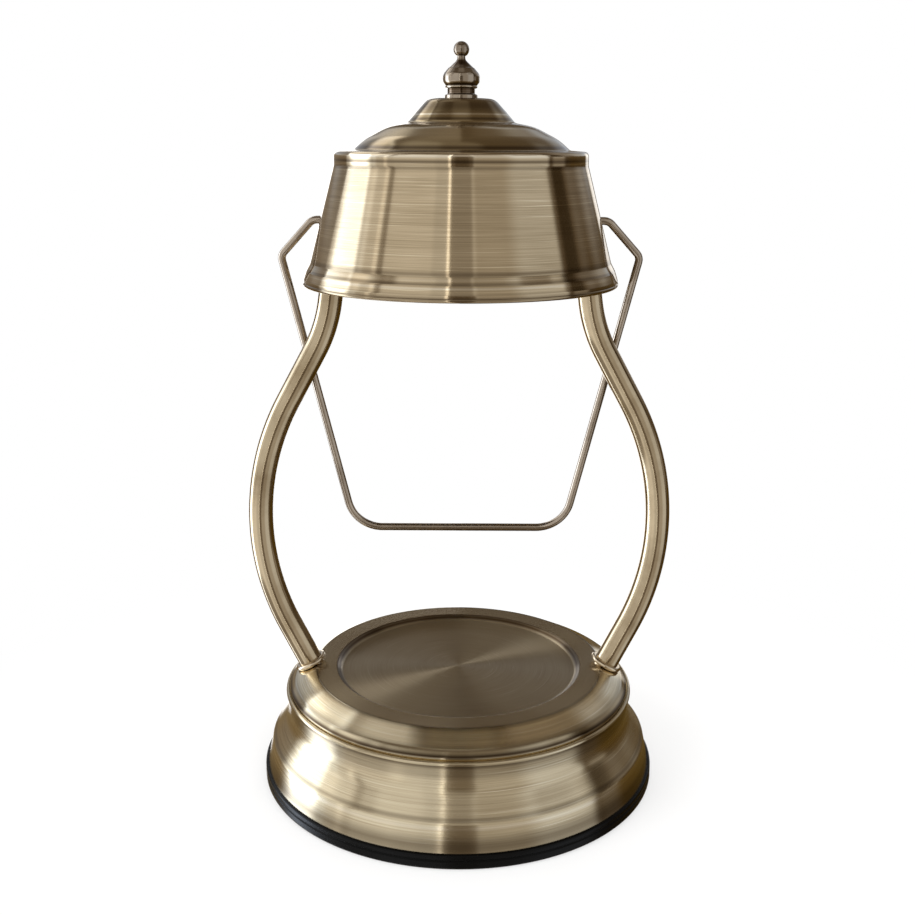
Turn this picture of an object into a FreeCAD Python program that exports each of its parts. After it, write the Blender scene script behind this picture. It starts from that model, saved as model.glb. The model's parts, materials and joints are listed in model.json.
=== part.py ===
import FreeCAD, Part
import math
import os

# Table lantern that melts a candle from above: a spun base with a recessed plate, two bent tube
# posts, a spun bell shade with a reflector bulb under it, and a wire carrying bail.
# Millimetres. +Z up, origin on the floor under the middle of the base, the posts lie along X.
# A solid of revolution is drawn as (radius, height, bend radius) corners in the XZ plane.

V = FreeCAD.Vector
UP = V(0, 0, 1)

# ---------------------------------------------------------------- sheet, tube, wire and fits
SHEET = 0.8                 # wall of the spun shells
POST_RADIUS = 5.0           # 10 mm lamp tube
POST_WALL = 1.0
BAIL_WIRE_RADIUS = 1.6
LEAD_RADIUS = 1.0           # insulated lead inside the post
SLIP = 0.2                  # radial clearance of a hole that a fastener or tube passes through
CLOSE_FIT = 0.05            # radial clearance of rings and bushes that are pushed on by hand
RUNNING = 0.1               # radial clearance of the bail in its holes
FREE_GAP = 0.3              # gap kept between pieces that move past each other

# ---------------------------------------------------------------- base
FOOT_RADIUS = 82.5          # outer edge of the rubber foot, the widest part of the base
FOOT_WIDTH = 12.5           # width of its ring
FOOT_HEIGHT = 5.9
FOOT_GROOVE = 0.5           # depth of the line round the foot's edge
HEM_INSET = 1.2             # from the foot's edge in to the lower edge of the skirt
BAND_LEAN = 2.1             # the lower band leans in by this much up to its crease
BAND_HEIGHT = 10.3
FLARE_WIDTH = 7.1           # from the crease in to the neck
FLARE_HEIGHT = 9.6
SEAM_HEIGHT = 36.6          # the skirt's top flange, which the cover sits on
SEAM_BEAD_RADIUS = 0.95     # rolled bead round the top of the skirt
FLANGE_WIDTH = 2.9
COVER_INSET = 0.3           # from the skirt's neck in to the cover's widest point
COVER_EDGE_WIDTH = 2.3      # from there in to where the cover's slope starts
COVER_EDGE_HEIGHT = 1.9     # from the seam up to the cover's widest point
HEM_TUCK = 0.5              # the cover's hem leans in by this much below its widest point
COVER_HEIGHT = 45.2         # flat top of the cover, round the recess
SHOULDER_WIDTH = 8.7        # width of the slope, in from its edge to the crease
SHOULDER_SLOPE = 27.0       # degrees; the posts stand square to this slope
PLATE_RADIUS = 49.6         # recess for a jar of 97 mm
RECESS_WALL_RUN = 2.1       # the recess's wall slopes out by this much
PLATE_DEPTH = 2.0
BOTTOM_PLATE_THICKNESS = 1.2
BOTTOM_PLATE_INSET = 1.4    # from the inside of the skirt's hem to the bottom plate's edge
BALLAST_RADIUS = 58.0
BALLAST_THICKNESS = 8.0
TIE_RADIUS = 3.0            # M6 stud welded under the cover
NUT_FLATS = 10.0            # M6 hexagon, across flats
NUT_HEIGHT = 3.2            # thin M6 nut
THREAD_TAIL = 0.6           # how far a stud stands out of its nut
WASHER_THICKNESS = 1.0
FENDER_RADIUS = 9.0

# ---------------------------------------------------------------- posts
POST_STANCE = 2.1           # from the crease out to where a post's axis meets the slope
POST_BELLY_X = 96.85        # corner of the big outward bend, before rounding
POST_BELLY_BEND = 105.0
POST_WAIST_DROP = 19.2      # from the shade's rim down to the small inward bend
POST_WAIST_BEND = 60.0
POST_REACH = 19.9           # from the rim up to the post's top inside the shade
POST_TOP_LEAN = 7.2         # degrees; the post leans inwards inside the shade
POST_SHADE_GAP = 0.6        # from the inside of the shade to a ring nut at the post's top
POST_THREAD_TAIL = 1.4      # how far the post stands out of its ring nut under the cover
COLLAR_RADIUS = 6.8
COLLAR_THICKNESS = 2.0
RING_NUT_RADIUS = 6.8       # round lamp nut on the post's M10 thread
RING_NUT_HEIGHT = 3.0
SADDLE_RADIUS = 7.3         # wedge-shaped washer between the ring nut and the cover
SADDLE_MIN = 1.0            # its thinnest edge, under the flat of the cover

# ---------------------------------------------------------------- shade
RIM_HEIGHT = 209.1          # middle of the rolled rim; the shade stands up from here
RIM_BEAD_RADIUS = 0.9
LIP_RADIUS = 60.8           # crease between the cone and the flared lip
LIP_FLARE = 2.7             # from the crease out to the rim
LIP_HEIGHT = 8.3
CROWN_RADIUS = 51.0         # shoulder between the dome and the cone
CONE_HEIGHT = 38.6
CROWN_HEIGHT = 5.3          # the short upright band under the shoulder
CROWN_WIDTH = 7.4           # the step between the shoulder and the dome
CROWN_RISE = 0.6
DOME_HEIGHT = 10.7
TIER_FOOT_RADIUS = 21.6
TIER_WIDTH = 8.3
TIER_HEIGHT = 9.4

# ---------------------------------------------------------------- finial
BALL_RADIUS = 3.15
BALL_HEIGHT = 19.15         # centre of the ball above the shade
ONION_RADIUS = 7.35
ONION_HEIGHT = 7.9          # widest part above the shade
STEM_RADIUS = 1.6
FINIAL_NECK_RADIUS = 5.5
FINIAL_FOOT_RADIUS = 6.6
FINIAL_BORE_DEPTH = 8.5
STUD_END_GAP = 0.5          # left between the stud and the end of the finial's bore

# ---------------------------------------------------------------- yoke, holder and bulb
YOKE_THICKNESS = 1.6
YOKE_WIDTH = 14.0
YOKE_TOP_HALF = 13.0        # half of the flat that carries the holder and the stud
YOKE_RAMP = 8.0             # the 45 degree ramp beside the flat drops and runs out this far
YOKE_KNEE_INSET = 7.6       # from the dome's foot in to the strap's knee
YOKE_KNEE_DROP = 15.8       # from the strap's flat down to its knee
YOKE_EYE_INSET = 10.5       # from the post's axis in to the corner of the yoke's leg
YOKE_EYE_END = 6.4          # from the post's axis out to the end of the yoke
YOKE_EYE_DROP = 5.2         # from the post's top down to the top face of the yoke
BULB_RADIUS = 25.2          # 50 mm reflector lamp
BULB_LENGTH = 44.3          # from the rim to the shoulder that meets the holder
BULB_GLASS = 1.6
CAP_RADIUS = 10.9
CAP_LENGTH = 13.0
BURNER_RADIUS = 4.0
BURNER_LENGTH = 17.5
PIN_PITCH = 10.0            # two-pin twist-lock base, 10 mm between pins
PIN_NECK_RADIUS = 1.5
PIN_HEAD_RADIUS = 2.45
PIN_LENGTH = 7.0
PIN_HEAD_LENGTH = 4.0
TWIST_ANGLE = 30.0          # degrees from locked to free
HOLDER_RADIUS = 13.5
HOLDER_LENGTH = 16.0
HOLDER_FACE = 2.4           # thickness of the holder's face behind which the pin heads lock
SPACER_HEIGHT = 6.0
SPACER_RADIUS = 2.5
SCREW_RADIUS = 1.5          # M3
SCREW_HEAD_RADIUS = 2.8
SCREW_HEAD_HEIGHT = 2.0
SCREW_SLOT = 0.8            # width and depth of the screwdriver slot
SCREW_PITCH = 17.0
SCREW_GRIP = 7.0            # length of screw inside the holder
CONTACT_THICKNESS = 0.9
CONTACT_WIDTH = 3.6
CONTACT_OVERHANG = 1.5      # how far a contact reaches past its pin and past its lead

# ---------------------------------------------------------------- bail
PIVOT_RISE = 24.8           # from the rim up to the bail's pivot axis
BAIL_TIP_INSIDE = 4.0       # from the shade's outside in to the end of the wire
BAIL_HOOK_OUT = 3.3         # and out to the corner of the bend beside it
BAIL_HOOK_BEND = 4.5
BAIL_EAR_OUT = 13.2         # from that bend out to the outermost corner
BAIL_EAR_DROP = 14.8        # measured down the bail from its pivot axis
BAIL_EAR_BEND = 4.0
BAIL_LEG_IN = 27.9          # from the outermost corner in to the end of the grip
BAIL_GRIP_DROP = 135.0
BAIL_GRIP_BEND = 15.0
BAIL_REST_GAP = 0.4         # from the wire to the post that it leans on

# ---------------------------------------------------------------- wiring
INLET_RADIUS = 3.25         # bore of the supply cord's bush
INLET_HEIGHT = 11.7
BUSH_RADIUS = 4.3
BUSH_FLANGE_RADIUS = 5.0
BUSH_FLANGE_THICKNESS = 1.6
BUSH_TAIL = 6.0             # length of the bush inside the skirt
LEAD_SPREAD = 1.3           # each lead stands this far to its side of the post's axis
LEAD_GAP = 1.5              # from the side of the yoke to a lead that passes it
LEAD_BEND = 10.0
BLOCK_LENGTH = 20.0
BLOCK_WIDTH = 16.0
BLOCK_HEIGHT = 12.0
BLOCK_X = 8.0               # the block's middle is this far towards the left post
BLOCK_Y = 38.0              # and this far behind the middle
BLOCK_POLE_PITCH = 8.0
BLOCK_SCREW_PITCH = 10.0
BLOCK_BORE_RADIUS = 1.4
BLOCK_SCREW_RADIUS = 1.6
BLOCK_SCREW_LENGTH = 4.4
BLOCK_GRIP = 7.0            # length of lead inside the block
BLOCK_APPROACH = 18.0       # straight run of a lead in front of the block

# ---------------------------------------------------------------- sizes that follow
# Base, from the foot inwards and upwards.
HEM_RADIUS = FOOT_RADIUS - HEM_INSET
BAND_TOP_RADIUS = HEM_RADIUS - BAND_LEAN
BAND_TOP_HEIGHT = FOOT_HEIGHT + BAND_HEIGHT
NECK_RADIUS = BAND_TOP_RADIUS - FLARE_WIDTH
COVER_RADIUS = NECK_RADIUS - COVER_INSET
SLOPE_RADIUS = COVER_RADIUS - COVER_EDGE_WIDTH
SHOULDER_RADIUS = SLOPE_RADIUS - SHOULDER_WIDTH
PLATE_HEIGHT = COVER_HEIGHT - PLATE_DEPTH
BALLAST_SEAT = FOOT_HEIGHT + BOTTOM_PLATE_THICKNESS
BALLAST_TOP = BALLAST_SEAT + BALLAST_THICKNESS

# Shade, from the rim upwards.
LIP_TOP = RIM_HEIGHT + LIP_HEIGHT
CONE_TOP = LIP_TOP + CONE_HEIGHT
CROWN_TOP = CONE_TOP + CROWN_HEIGHT
DOME_FOOT_RADIUS = CROWN_RADIUS - CROWN_WIDTH
DOME_FOOT_HEIGHT = CROWN_TOP + CROWN_RISE
TIER_FOOT_HEIGHT = DOME_FOOT_HEIGHT + DOME_HEIGHT
SHADE_TOP = TIER_FOOT_HEIGHT + TIER_HEIGHT      # flat that the finial is screwed down on
SHADE_CEILING = SHADE_TOP - SHEET

# Strap, holder and bulb, hung from the top of the shade downwards.
YOKE_TOP = SHADE_CEILING - WASHER_THICKNESS - NUT_HEIGHT
YOKE_UNDER = YOKE_TOP - YOKE_THICKNESS
YOKE_KNEE_X = DOME_FOOT_RADIUS - YOKE_KNEE_INSET
YOKE_KNEE_HEIGHT = YOKE_TOP - YOKE_KNEE_DROP
HOLDER_TOP = YOKE_UNDER - SPACER_HEIGHT
HOLDER_BASE = HOLDER_TOP - HOLDER_LENGTH
BULB_SHOULDER = HOLDER_BASE - FREE_GAP
BULB_CAP_BASE = BULB_SHOULDER - CAP_LENGTH
BULB_FACE_HEIGHT = BULB_SHOULDER - BULB_LENGTH
PIN_TOP = BULB_SHOULDER + PIN_LENGTH
CONTACT_BASE = PIN_TOP + FREE_GAP
CONTACT_TOP = CONTACT_BASE + CONTACT_THICKNESS
LEAD_Y = YOKE_WIDTH / 2 + LEAD_GAP + LEAD_RADIUS
LEAD_HEIGHT = BALLAST_TOP + BLOCK_HEIGHT / 2


def cone_radius(height):
    """Outside of the shade's cone at a height."""
    return LIP_RADIUS - (LIP_RADIUS - CROWN_RADIUS) * (height - LIP_TOP) / CONE_HEIGHT


# Posts, square on the cover's slope and just inside the shade's cone.
SLOPE = math.radians(SHOULDER_SLOPE)
TOP_LEAN = math.radians(POST_TOP_LEAN)
POST_UP = V(math.sin(SLOPE), 0, math.cos(SLOPE))              # right post's axis at its foot
POST_TOP_UP = V(-math.sin(TOP_LEAN), 0, math.cos(TOP_LEAN))   # and at its top
FOOT_DROP = POST_STANCE * math.tan(SLOPE)
POST_FOOT = V(SHOULDER_RADIUS + POST_STANCE, 0, COVER_HEIGHT - FOOT_DROP)
# The ring nut's seat lies far enough down the post for the saddle to pass under the cover's flat.
SADDLE_DROP = (SADDLE_RADIUS * math.sin(SLOPE) + SHEET + SADDLE_MIN - FOOT_DROP) / math.cos(SLOPE)
POST_TAIL = SADDLE_DROP + RING_NUT_HEIGHT + POST_THREAD_TAIL
POST_TOP_HEIGHT = RIM_HEIGHT + POST_REACH
POST_TOP_X = cone_radius(POST_TOP_HEIGHT) - SHEET - POST_SHADE_GAP - RING_NUT_RADIUS
POST_WAIST_HEIGHT = RIM_HEIGHT - POST_WAIST_DROP
POST_WAIST_X = POST_TOP_X + (POST_TOP_HEIGHT - POST_WAIST_HEIGHT) * math.tan(TOP_LEAN)

# Bail, from the shade's cone outwards.
PIVOT_HEIGHT = RIM_HEIGHT + PIVOT_RISE
BAIL_TIP_X = cone_radius(PIVOT_HEIGHT) - BAIL_TIP_INSIDE
BAIL_HOOK_X = cone_radius(PIVOT_HEIGHT) + BAIL_HOOK_OUT
BAIL_EAR_X = BAIL_HOOK_X + BAIL_EAR_OUT
BAIL_GRIP_X = BAIL_EAR_X - BAIL_LEG_IN


# ---------------------------------------------------------------- drawing helpers
def flat(corners):
    """(radius, height, bend) corners as (point in the XZ plane, bend)."""
    return [(V(r, 0, z), bend) for r, z, bend in corners]


def bend_reaches(corners):
    """How far from each corner its arc starts; two arcs that share a short run share it fairly."""
    wanted = [0.0] * len(corners)
    for i in range(1, len(corners) - 1):
        run_in = corners[i][0] - corners[i - 1][0]
        run_out = corners[i + 1][0] - corners[i][0]
        wanted[i] = corners[i][1] * math.tan(run_in.getAngle(run_out) / 2)
    reaches = list(wanted)
    for i in range(1, len(corners) - 1):
        for j in (i - 1, i + 1):
            room = 0.98 * (corners[i][0] - corners[j][0]).Length
            if wanted[i] + wanted[j] > room:
                reaches[i] = min(reaches[i], wanted[i] * room / (wanted[i] + wanted[j]))
    return reaches


def rounded_edges(corners):
    """Straight runs and tangent arcs through (point, bend) corners, as edges in order."""
    edges = []
    here = corners[0][0]
    reaches = bend_reaches(corners)
    for i in range(1, len(corners) - 1):
        corner = corners[i][0]
        back = (corners[i - 1][0] - corner).normalize()
        ahead = (corners[i + 1][0] - corner).normalize()
        start = corner + back * reaches[i]
        edges.append(Part.LineSegment(here, start).toShape())
        here = start
        if reaches[i] > 1e-6:
            half = back.getAngle(ahead) / 2
            radius = reaches[i] * math.tan(half)
            middle = corner + (back + ahead).normalize() * (radius / math.sin(half) - radius)
            here = corner + ahead * reaches[i]
            edges.append(Part.Arc(start, middle, here).toShape())
    edges.append(Part.LineSegment(here, corners[-1][0]).toShape())
    return edges


def offset_corners(corners, wall):
    """The corners of a parallel outline, `wall` to the right of the way the outline runs."""
    points = [point for point, _ in corners]
    runs = [b - a for a, b in zip(points, points[1:])]
    sides = [V(run.z, 0, -run.x).normalize() for run in runs]
    moved = []
    for i, (point, bend) in enumerate(corners):
        side_in = sides[max(i - 1, 0)]
        side_out = sides[min(i, len(sides) - 1)]
        run_out = runs[min(i, len(runs) - 1)]
        shift = (side_in + side_out) * (wall / (1 + side_in.dot(side_out)))
        inner_bend = max(bend - wall, 0) if side_in.dot(run_out) > 0 else bend + wall
        moved.append((point + shift, inner_bend if bend > 0 else 0))
    return moved


def closed_face(*outlines):
    """A flat face inside one or two outlines, with straight lines between their ends."""
    edges = [edge for outline in outlines for edge in outline]
    starts = [outline[0].Vertexes[0].Point for outline in outlines]
    ends = [outline[-1].Vertexes[-1].Point for outline in outlines]
    caps = [(starts[0], starts[1]), (ends[0], ends[1])] if len(outlines) == 2 else [(ends[0], starts[0])]
    edges += [Part.LineSegment(a, b).toShape() for a, b in caps]
    return Part.Face(Part.Wire(Part.__sortEdges__(edges)))


def sheet_face(corners, wall):
    """The cross-section of a sheet that follows the corners, `wall` thick to their right."""
    return closed_face(rounded_edges(corners), rounded_edges(offset_corners(corners, wall)))


def spun(corners, wall=SHEET):
    """A spun shell: its outside follows the corners, its wall lies to their right."""
    return sheet_face(flat(corners), wall).revolve(V(), UP, 360)


def turned(corners):
    """A turned solid between the corners and the line that closes them."""
    return closed_face(rounded_edges(flat(corners))).revolve(V(), UP, 360)


def room_under(corners, wall, floor):
    """The room under a spun shell, from its inner face down to the height `floor`."""
    inner = offset_corners(flat(corners), wall)
    inner.append((V(inner[-1][0].x, 0, floor), 0))
    inner.append((V(0, 0, floor), 0))
    return closed_face(rounded_edges(inner)).revolve(V(), UP, 360)


def rolled_bead(radius, height, bead_radius):
    return Part.makeTorus(radius, bead_radius, V(0, 0, height), UP)


def below(height):
    """Everything below a height, for trimming a hem level."""
    size = 4 * FOOT_RADIUS
    return Part.makeBox(size, size, size, V(-size / 2, -size / 2, height - size))


def swept_rod(corners, radius):
    """A round rod along (point, bend) corners."""
    start = corners[0][0]
    section = Part.Wire(Part.Circle(start, corners[1][0] - start, radius).toShape())
    return Part.Wire(rounded_edges(corners)).makePipeShell([section], True, False)


def rod(radius, start, end):
    return Part.makeCylinder(radius, (end - start).Length, start, end - start)


def ring(outer, inner, thickness, place, axis=UP):
    body = Part.makeCylinder(outer, thickness, place, axis)
    return body.cut(Part.makeCylinder(inner, thickness, place, axis))


def hexagon_nut(height, base):
    """An M6 nut on the middle line with its lower face at the height `base`."""
    corner = NUT_FLATS / math.sqrt(3)
    angles = [math.radians(30 + 60 * k) for k in range(7)]
    outline = Part.makePolygon([V(corner * math.cos(a), corner * math.sin(a), base) for a in angles])
    blank = Part.Face(outline).extrude(V(0, 0, height))
    return blank.cut(Part.makeCylinder(TIE_RADIUS, height, V(0, 0, base)))


def mirrored(shape):
    """The left-hand copy of a right-hand shape."""
    return shape.mirror(V(), V(1, 0, 0))


def both_sides(*shapes):
    """Each right-hand shape with its left-hand copy."""
    return Part.makeCompound([copy for shape in shapes for copy in (shape, mirrored(shape))])


def spin(shape, degrees):
    """A copy of the shape turned about the middle line."""
    copy = shape.copy()
    copy.rotate(V(), UP, degrees)
    return copy


def opposite_pair(shape):
    return Part.makeCompound([shape, spin(shape, 180)])


# ---------------------------------------------------------------- base
def foot_ring():
    groove = 0.6 * FOOT_HEIGHT
    return turned([
        (FOOT_RADIUS - FOOT_WIDTH, 0, 0),
        (FOOT_RADIUS, 0, 1.2),
        (FOOT_RADIUS, groove - FOOT_GROOVE, 0.2),
        (FOOT_RADIUS - FOOT_GROOVE, groove, 0.2),
        (FOOT_RADIUS, groove + FOOT_GROOVE, 0.2),
        (FOOT_RADIUS, FOOT_HEIGHT, 0.9),
        (FOOT_RADIUS - FOOT_WIDTH, FOOT_HEIGHT, 0)])


def bottom_plate():
    radius = HEM_RADIUS - SHEET - BOTTOM_PLATE_INSET
    return ring(radius, TIE_RADIUS + SLIP, BOTTOM_PLATE_THICKNESS, V(0, 0, FOOT_HEIGHT))


def ballast_disc():
    return ring(BALLAST_RADIUS, TIE_RADIUS + SLIP, BALLAST_THICKNESS, V(0, 0, BALLAST_SEAT))


def skirt_corners():
    return [
        (NECK_RADIUS - FLANGE_WIDTH, SEAM_HEIGHT, 0),
        (NECK_RADIUS, SEAM_HEIGHT, 0.9),
        (NECK_RADIUS, BAND_TOP_HEIGHT + FLARE_HEIGHT, 9),
        (BAND_TOP_RADIUS - 1.7, BAND_TOP_HEIGHT + 2.1, 5),
        (BAND_TOP_RADIUS, BAND_TOP_HEIGHT, 2),
        (HEM_RADIUS, FOOT_HEIGHT, 0)]


def base_skirt():
    bead = rolled_bead(NECK_RADIUS + 0.25, SEAM_HEIGHT, SEAM_BEAD_RADIUS)
    hole = Part.makeCylinder(BUSH_RADIUS, 2 * HEM_RADIUS, V(0, 0, INLET_HEIGHT), V(0, 1, 0))
    return spun(skirt_corners()).fuse(bead).cut([below(FOOT_HEIGHT), hole]).removeSplitter()


def cover_corners():
    # The hem runs on past the seam by its own wall, and is trimmed level with it.
    run_on = (COVER_EDGE_HEIGHT + SHEET) / COVER_EDGE_HEIGHT
    return [
        (0, PLATE_HEIGHT, 0),
        (PLATE_RADIUS, PLATE_HEIGHT, 1.4),
        (PLATE_RADIUS + RECESS_WALL_RUN, COVER_HEIGHT, 1.4),
        (SHOULDER_RADIUS, COVER_HEIGHT, 1.5),
        (SLOPE_RADIUS, COVER_HEIGHT - SHOULDER_WIDTH * math.tan(SLOPE), 4),
        (COVER_RADIUS, SEAM_HEIGHT + COVER_EDGE_HEIGHT, 0.9),
        (COVER_RADIUS - HEM_TUCK * run_on, SEAM_HEIGHT - SHEET, 0)]


def base_cover():
    hole = rod(POST_RADIUS + SLIP, POST_FOOT - POST_UP * POST_TAIL, POST_FOOT + POST_UP * POST_TAIL)
    return spun(cover_corners()).cut([below(SEAM_HEIGHT), both_sides(hole)]).removeSplitter()


def tie_stud():
    nut = FOOT_HEIGHT - WASHER_THICKNESS - NUT_HEIGHT
    return rod(TIE_RADIUS, V(0, 0, nut - THREAD_TAIL), V(0, 0, PLATE_HEIGHT - SHEET))


def ballast_nut():
    return hexagon_nut(NUT_HEIGHT, BALLAST_TOP)


def base_washer():
    return ring(FENDER_RADIUS, TIE_RADIUS + SLIP, WASHER_THICKNESS, V(0, 0, FOOT_HEIGHT - WASHER_THICKNESS))


def base_nut():
    return hexagon_nut(NUT_HEIGHT, FOOT_HEIGHT - WASHER_THICKNESS - NUT_HEIGHT)


# ---------------------------------------------------------------- posts
def post_corners(foot_run, y=0.0):
    """The right post's axis, from `foot_run` below the cover's slope up to the post's top."""
    foot = POST_FOOT - POST_UP * foot_run
    belly_height = POST_FOOT.z + (POST_BELLY_X - POST_FOOT.x) / math.tan(SLOPE)
    return [(V(foot.x, y, foot.z), 0),
            (V(POST_BELLY_X, y, belly_height), POST_BELLY_BEND),
            (V(POST_WAIST_X, y, POST_WAIST_HEIGHT), POST_WAIST_BEND),
            (V(POST_TOP_X, y, POST_TOP_HEIGHT), 0)]


def right_post():
    axis = post_corners(POST_TAIL)
    return swept_rod(axis, POST_RADIUS).cut(swept_rod(axis, POST_RADIUS - POST_WALL))


def left_post():
    return mirrored(right_post())


def right_collar():
    """The rounded ring round the post, square on the cover's slope."""
    edge = 0.48 * COLLAR_THICKNESS
    bore = POST_RADIUS + CLOSE_FIT
    shape = turned([(bore, 0, 0), (COLLAR_RADIUS, 0, edge), (COLLAR_RADIUS, COLLAR_THICKNESS, edge),
                    (bore, COLLAR_THICKNESS, 0)])
    shape.Placement = FreeCAD.Placement(POST_FOOT, FreeCAD.Rotation(UP, POST_UP))
    return shape


def left_collar():
    return mirrored(right_collar())


def saddle_washers():
    """Wedges that fill the corner between the cover's inner face and the ring nuts."""
    seat = POST_FOOT - POST_UP * SADDLE_DROP
    blank = ring(SADDLE_RADIUS, POST_RADIUS + CLOSE_FIT, SADDLE_DROP + SADDLE_RADIUS, seat, POST_UP)
    return both_sides(blank.common(room_under(cover_corners(), SHEET, FOOT_HEIGHT)))


def foot_ring_nuts():
    seat = POST_FOOT - POST_UP * (SADDLE_DROP + RING_NUT_HEIGHT)
    return both_sides(ring(RING_NUT_RADIUS, POST_RADIUS, RING_NUT_HEIGHT, seat, POST_UP))


def yoke_eye():
    """Where the right post's axis passes the top face of the yoke."""
    return post_corners(0)[-1][0] - POST_TOP_UP * YOKE_EYE_DROP


def yoke_ring_nuts():
    low = yoke_eye() - POST_TOP_UP * (YOKE_THICKNESS + RING_NUT_HEIGHT)
    above = ring(RING_NUT_RADIUS, POST_RADIUS, RING_NUT_HEIGHT, yoke_eye(), POST_TOP_UP)
    under = ring(RING_NUT_RADIUS, POST_RADIUS, RING_NUT_HEIGHT, low, POST_TOP_UP)
    return both_sides(above, under)


# ---------------------------------------------------------------- yoke, shade and finial
def yoke_strap():
    """One bent steel strip from post to post, over the bulb."""
    outward = V(POST_TOP_UP.z, 0, -POST_TOP_UP.x)
    eye = yoke_eye()
    half = [(V(YOKE_TOP_HALF, 0, YOKE_TOP), 2.5),
            (V(YOKE_TOP_HALF + YOKE_RAMP, 0, YOKE_TOP - YOKE_RAMP), 4),
            (V(YOKE_KNEE_X, 0, YOKE_KNEE_HEIGHT), 5),
            (eye - outward * YOKE_EYE_INSET, 0.9),
            (eye + outward * YOKE_EYE_END, 0)]
    other_half = [(V(-point.x, 0, point.z), bend) for point, bend in reversed(half)]
    strip = sheet_face(other_half + half, YOKE_THICKNESS).extrude(V(0, YOKE_WIDTH, 0))
    strip.translate(V(0, -YOKE_WIDTH / 2, 0))
    low, high = YOKE_UNDER - SLIP, YOKE_TOP + SLIP
    post_hole = rod(POST_RADIUS + SLIP, eye - POST_TOP_UP * 2 * YOKE_THICKNESS, eye + POST_TOP_UP)
    stud_hole = rod(TIE_RADIUS + SLIP, V(0, 0, low), V(0, 0, high))
    screw_hole = rod(SCREW_RADIUS + SLIP, V(SCREW_PITCH / 2, 0, low), V(SCREW_PITCH / 2, 0, high))
    return strip.cut([both_sides(post_hole, screw_hole), stud_hole])


def shade_stud():
    return rod(TIE_RADIUS, V(0, 0, YOKE_UNDER - NUT_HEIGHT - THREAD_TAIL),
               V(0, 0, SHADE_TOP + FINIAL_BORE_DEPTH - STUD_END_GAP))


def stud_nuts():
    return Part.makeCompound([hexagon_nut(NUT_HEIGHT, YOKE_UNDER - NUT_HEIGHT),
                              hexagon_nut(NUT_HEIGHT, YOKE_TOP)])


def shade_washer():
    seat = SHADE_CEILING - WASHER_THICKNESS
    return ring(FINIAL_FOOT_RADIUS, TIE_RADIUS + SLIP, WASHER_THICKNESS, V(0, 0, seat))


def shade():
    """The whole bell: stepped tier, dome, shoulder, cone and flared lip, spun from one disc."""
    rim_radius = LIP_RADIUS + LIP_FLARE
    shell = spun([
        (TIE_RADIUS + SLIP, SHADE_TOP, 0),
        (TIER_FOOT_RADIUS - TIER_WIDTH, SHADE_TOP, 5),
        (TIER_FOOT_RADIUS - 3.4, TIER_FOOT_HEIGHT + 4.0, 1),
        (TIER_FOOT_RADIUS, TIER_FOOT_HEIGHT, 3),
        (TIER_FOOT_RADIUS + 7.7, TIER_FOOT_HEIGHT - 1.5, 20),
        (DOME_FOOT_RADIUS - 4.5, DOME_FOOT_HEIGHT + 4.1, 20),
        (DOME_FOOT_RADIUS, DOME_FOOT_HEIGHT, 1.5),
        (CROWN_RADIUS, CROWN_TOP, 1.8),
        (CROWN_RADIUS, CONE_TOP, 3),
        (LIP_RADIUS, LIP_TOP, 1),
        (LIP_RADIUS + 1.6, LIP_TOP - 3.1, 1.5),
        (rim_radius, RIM_HEIGHT + 1.8, 1.5),
        (rim_radius, RIM_HEIGHT, 0)])
    bead = rolled_bead(rim_radius - 0.6, RIM_HEIGHT, RIM_BEAD_RADIUS)
    pivots = rod(BAIL_WIRE_RADIUS + RUNNING, V(-2 * CROWN_RADIUS, 0, PIVOT_HEIGHT),
                 V(2 * CROWN_RADIUS, 0, PIVOT_HEIGHT))
    return shell.fuse(bead).cut(pivots).removeSplitter()


def finial():
    """Turned knob: foot, neck, bead, onion, stem and ball, bored for the stud."""
    onion = SHADE_TOP + ONION_HEIGHT
    ball = SHADE_TOP + BALL_HEIGHT
    body = turned([
        (0, ball, 0),
        (STEM_RADIUS, ball, 0),
        (STEM_RADIUS, onion + 7.2, 2.4),
        (STEM_RADIUS + 3.1, onion + 4.25, 0.3),
        (STEM_RADIUS + 3.6, onion + 4.0, 0.2),
        (ONION_RADIUS, onion + 1.5, 2.8),
        (ONION_RADIUS, onion - 1.4, 2.4),
        (FINIAL_NECK_RADIUS + 0.75, SHADE_TOP + 5.1, 0.1),
        (FINIAL_NECK_RADIUS + 1.0, SHADE_TOP + 4.7, 0.25),
        (FINIAL_NECK_RADIUS + 0.8, SHADE_TOP + 4.2, 0.2),
        (FINIAL_NECK_RADIUS, SHADE_TOP + 3.9, 0.1),
        (FINIAL_NECK_RADIUS, SHADE_TOP + 1.9, 0.4),
        (FINIAL_FOOT_RADIUS - 0.1, SHADE_TOP + 1.5, 0.35),
        (FINIAL_FOOT_RADIUS, SHADE_TOP, 0),
        (0, SHADE_TOP, 0)])
    bore = Part.makeCylinder(TIE_RADIUS, FINIAL_BORE_DEPTH, V(0, 0, SHADE_TOP))
    return body.fuse(Part.makeSphere(BALL_RADIUS, V(0, 0, ball))).cut(bore).removeSplitter()


# ---------------------------------------------------------------- lamp holder
def arc_slot(half_width, low, high):
    """The space that the pin at +Y sweeps between locked and free."""
    radius = PIN_PITCH / 2
    sector = Part.makeCylinder(radius + half_width, high - low, V(0, 0, low), UP, TWIST_ANGLE)
    core = Part.makeCylinder(radius - half_width, high - low, V(0, 0, low))
    locked = Part.makeCylinder(half_width, high - low, V(0, radius, low))
    return spin(sector.cut(core), 90 - TWIST_ANGLE).fuse([locked, spin(locked, -TWIST_ANGLE)])


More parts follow.
